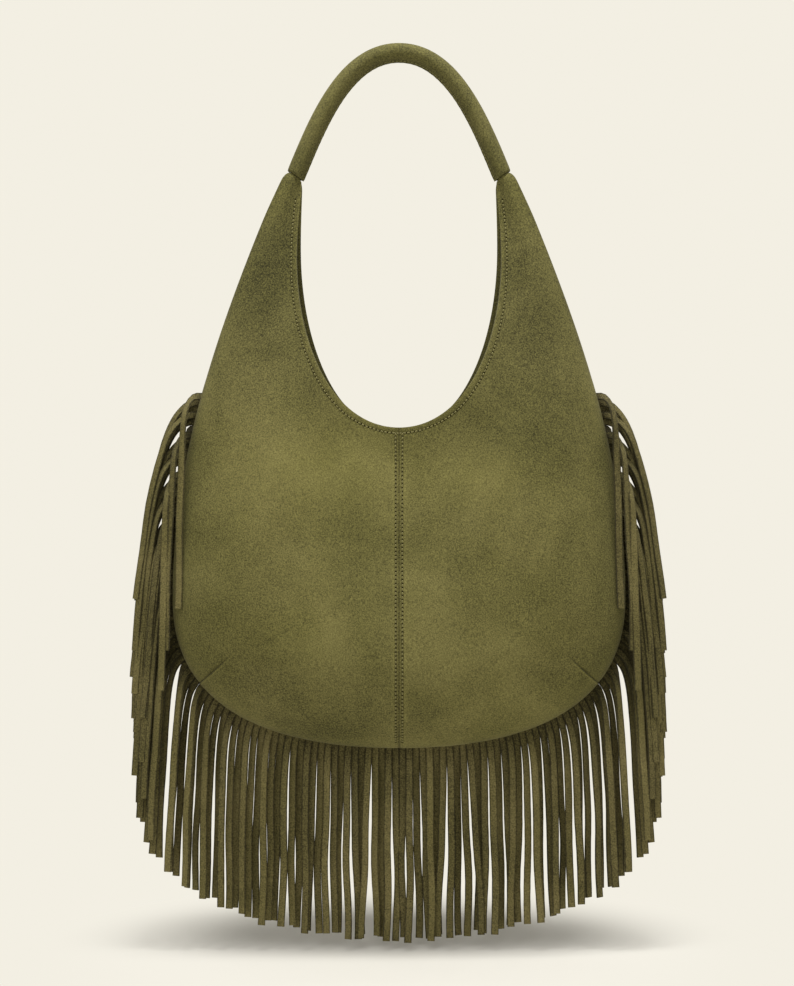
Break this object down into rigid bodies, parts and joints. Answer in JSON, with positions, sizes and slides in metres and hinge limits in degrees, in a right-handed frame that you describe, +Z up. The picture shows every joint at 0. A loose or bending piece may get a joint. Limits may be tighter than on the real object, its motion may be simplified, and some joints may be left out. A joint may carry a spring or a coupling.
{
  "type": "fringed suede shoulder bag",
  "caption": "Slouchy suede hobo bag with a rolled shoulder handle, an open U-shaped mouth and a slit-cut fringe sewn round its lower seam.",
  "frame": {"origin": "underside of the handle's crown, where the bag hangs", "axes": "+Z up, -Y out of the bag's front, +X to the right seen from the front"},
  "size_m": [0.4496, 0.0964, 0.7223],
  "materials": {
    "suede": "olive green suede, matt with a brushed nap",
    "fringe_suede": "olive brown suede, slit into strands",
    "core": "cotton cord",
    "lining": "plain woven cotton",
    "snap_metal": "antique brass"
  },
  "bodies": {
    "root": {"handle_sleeve": "suede", "handle_core": "core", "front_panel_left": "suede", "front_panel_right": "suede", "back_panel_left": "suede", "back_panel_right": "suede", "front_facing": "suede", "back_facing": "suede", "front_lining": "lining", "back_lining": "lining", "left_side_fringe": "fringe_suede", "bottom_left_fringe": "fringe_suede", "right_side_fringe": "fringe_suede", "bottom_right_fringe": "fringe_suede", "snap_socket": "snap_metal", "snap_stud": "snap_metal"}
  },
  "joints": []
}
